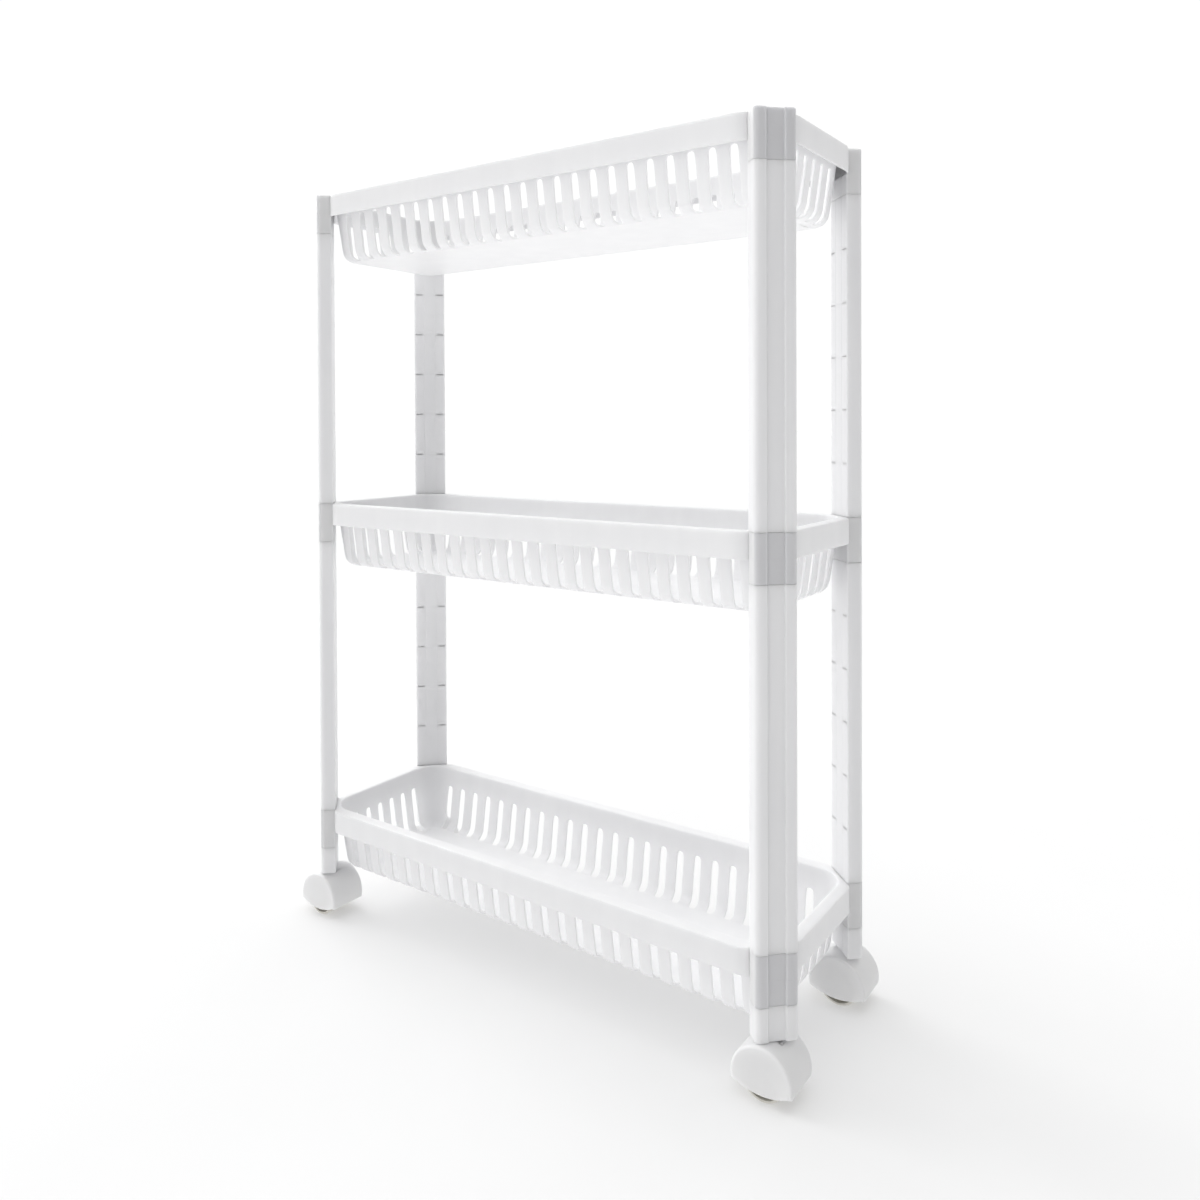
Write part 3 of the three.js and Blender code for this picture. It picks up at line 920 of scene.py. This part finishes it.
# ---------- the object ----------
def build_trays(plastic):
    shell = smoothed("tray_shell_work", tray_shell(), 1)
    for node in TRAYS:
        rim_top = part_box(node)[1].z / MM
        sockets = [socket_part(corner, node == "top_tray") for corner in CORNERS]
        part = moved(joined([shell, *sockets]), Matrix.Translation((0, 0, rim_top)))
        mesh = mesh_of(f"{node}_moulding", part, TRAY_CREASE)
        # Painted shade on the sockets, darkening their base colour where two walls overlap.
        paint_socket_shade(mesh)
        piece(f"{node}_moulding", mesh, plastic, "frame", "tray_plastic", node)


def build_posts(plastic):
    """Posts and legs, drawn slightly longer than the CAD's so that the joint lines stay thin."""
    for corner in CORNERS:
        place = corner_matrix(corner)
        for kind, make in (("lower_post", post_part), ("upper_post", post_part), ("leg", leg_part)):
            node = f"{kind}_{corner}"
            low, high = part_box(node)
            foot = low.z / MM + (0 if kind == "leg" else SPIGOT_LENGTH - JOINT_CLOSING)
            head = high.z / MM - SPIGOT_LENGTH + JOINT_CLOSING
            mesh = mesh_of(f"{node}_tube", moved(make(foot, head), place), POST_CREASE)
            piece(f"{node}_tube", mesh, plastic, "frame", "post_plastic", node)


def build_casters(plastic, wheel_look, steel):
    across = Matrix.Rotation(math.pi / 2, 4, "X")
    for corner in CORNERS:
        place = caster_matrix(corner)
        pin = place @ Matrix.Translation((TRAIL, 0, WHEEL_RADIUS)) @ across
        body = f"caster_{corner}"
        for node, part, at, look, slot in (
            (f"caster_hood_{corner}", hood_part(), place, plastic, "hood_plastic"),
            (f"caster_stem_{corner}", stem_part(), place, steel, "zinc_steel"),
            (f"stem_ring_{corner}", ring_part(), place, steel, "zinc_steel"),
            (f"wheel_axle_{corner}", axle_part(), pin, steel, "zinc_steel"),
        ):
            mesh = mesh_of(f"{node}_look", moved(part, at), HOOD_CREASE)
            piece(f"{node}_look", mesh, look, body, slot, node)
        for side, turn in (("left", -1), ("right", 1)):
            node = f"wheel_{side}_{corner}"
            seat = Matrix.Translation((TRAIL, -turn * WHEEL_INNER_FACE, WHEEL_RADIUS))
            at = place @ seat @ Matrix.Rotation(turn * math.pi / 2, 4, "X")
            mesh = mesh_of(f"{node}_look", moved(wheel_part(), at), WHEEL_CREASE)
            piece(f"{node}_look", mesh, wheel_look, node, "wheel_plastic", node)


# ---------- studio ----------
# Metres, degrees and light strengths.
FLOOR_GLOW = 0.34
FLOOR_HALF = 40.0
SKY_BRIGHT = 1.03
SKY_FULL_FROM = 0.15
SKY_DIM = 0.0
SKY_SIDE = Vector((-0.95, 0.25, 0.35))
SUNS = (
    ("key_left", (-2.4, 0.1, 1.7), 1.2, 50),
    ("top_fill", (-0.2, 0.05, 1.0), 0.35, 80),
)
MOST_BOUNCES = 24
DIFFUSE_BOUNCES = 16
CAMERA_PLACE = (0.4775, -0.6342, 0.4255)
CAMERA_YAW = 34.89
CAMERA_PITCH = 0.627
CAMERA_ROLL = -0.235
CAMERA_LENS = 29.59
CAMERA_SHIFT = -0.1394


def build_camera():
    data = bpy.data.cameras.new("photo_camera")
    data.sensor_width = 36
    data.lens = CAMERA_LENS
    data.shift_y = CAMERA_SHIFT
    data.clip_start = 0.01
    data.clip_end = 100
    camera = bpy.data.objects.new("photo_camera", data)
    bpy.context.scene.collection.objects.link(camera)
    yaw, pitch, roll = (math.radians(a) for a in (CAMERA_YAW, CAMERA_PITCH, CAMERA_ROLL))
    forward = Vector((-math.sin(yaw) * math.cos(pitch), math.cos(yaw) * math.cos(pitch), -math.sin(pitch)))
    right = Vector((math.cos(yaw), math.sin(yaw), 0))
    up = right.cross(forward)
    level_right = right * math.cos(roll) + up * math.sin(roll)
    level_up = up * math.cos(roll) - right * math.sin(roll)
    turn = Matrix((level_right, level_up, -forward)).transposed().to_4x4()
    camera.matrix_world = Matrix.Translation(CAMERA_PLACE) @ turn
    bpy.context.scene.camera = camera


def soft_sun(name, source, strength, spread_degrees):
    """Even light over the whole studio from the direction of source. A wide spread softens shadows."""
    data = bpy.data.lights.new(name, "SUN")
    data.energy = strength
    data.angle = math.radians(spread_degrees)
    light = bpy.data.objects.new(name, data)
    bpy.context.scene.collection.objects.link(light)
    light.rotation_mode = "QUATERNION"
    light.rotation_quaternion = (-Vector(source)).to_track_quat("-Z", "Y")


def paint_sky(tree):
    """A white backdrop, and light from all round it that is strongest from SKY_SIDE."""
    nodes, links = tree.nodes, tree.links
    light = nodes["Background"]
    backdrop = nodes.new("ShaderNodeBackground")
    backdrop.inputs["Strength"].default_value = SKY_BRIGHT
    for shader in (light, backdrop):
        shader.inputs["Color"].default_value = (1, 1, 1, 1)
    where = nodes.new("ShaderNodeTexCoord")
    reach = nodes.new("ShaderNodeVectorMath")
    reach.operation = "DOT_PRODUCT"
    reach.inputs[1].default_value = SKY_SIDE.normalized()
    ramp = nodes.new("ShaderNodeMapRange")
    for end, reached, strength in (("Min", -1, SKY_DIM), ("Max", SKY_FULL_FROM, SKY_BRIGHT)):
        ramp.inputs[f"From {end}"].default_value = reached
        ramp.inputs[f"To {end}"].default_value = strength
    links.new(where.outputs["Generated"], reach.inputs[0])
    links.new(reach.outputs["Value"], ramp.inputs["Value"])
    links.new(ramp.outputs["Result"], light.inputs["Strength"])
    path = nodes.new("ShaderNodeLightPath")
    choice = nodes.new("ShaderNodeMixShader")
    links.new(path.outputs["Is Camera Ray"], choice.inputs["Fac"])
    links.new(light.outputs["Background"], choice.inputs[1])
    links.new(backdrop.outputs["Background"], choice.inputs[2])
    links.new(choice.outputs["Shader"], nodes["World Output"].inputs["Surface"])


def build_studio():
    floor = bpy.data.meshes.new("studio_floor")
    r = FLOOR_HALF
    floor.from_pydata([(-r, -r, 0), (r, -r, 0), (r, r, 0), (-r, r, 0)], [], [(0, 1, 2, 3)])
    ground = bpy.data.objects.new("studio_floor", floor)
    bpy.context.scene.collection.objects.link(ground)
    floor.materials.append(floor_paint())
    world = bpy.data.worlds.new("studio_world")
    bpy.context.scene.world = world
    world.use_nodes = True
    paint_sky(world.node_tree)
    for name, source, strength, spread in SUNS:
        soft_sun(name, source, strength, spread)
    bpy.context.scene.cycles.max_bounces = MOST_BOUNCES
    bpy.context.scene.cycles.diffuse_bounces = DIFFUSE_BOUNCES
    bpy.context.scene.view_settings.view_transform = "Standard"
    bpy.context.scene.view_settings.look = "None"


TRAY_WHITE = ((0.875, 0.875, 0.882), (0.84, 0.84, 0.85))
POST_WHITE = ((0.87, 0.87, 0.877), (0.835, 0.835, 0.845))
HOOD_WHITE = ((0.91, 0.91, 0.915), (0.88, 0.88, 0.89))

tray_look = moulded_plastic("tray_plastic_looks", *TRAY_WHITE, 0.36, 0.35, 0.25)
post_look = moulded_plastic("post_plastic_looks", *POST_WHITE, 0.33, 0.25, 0.2)
hood_look = moulded_plastic("hood_plastic_looks", *HOOD_WHITE, 0.36, 0.2, 0.3)
build_trays(tray_look)
build_posts(post_look)
build_casters(hood_look, wheel_plastic(), zinc_steel())
build_camera()
build_studio()
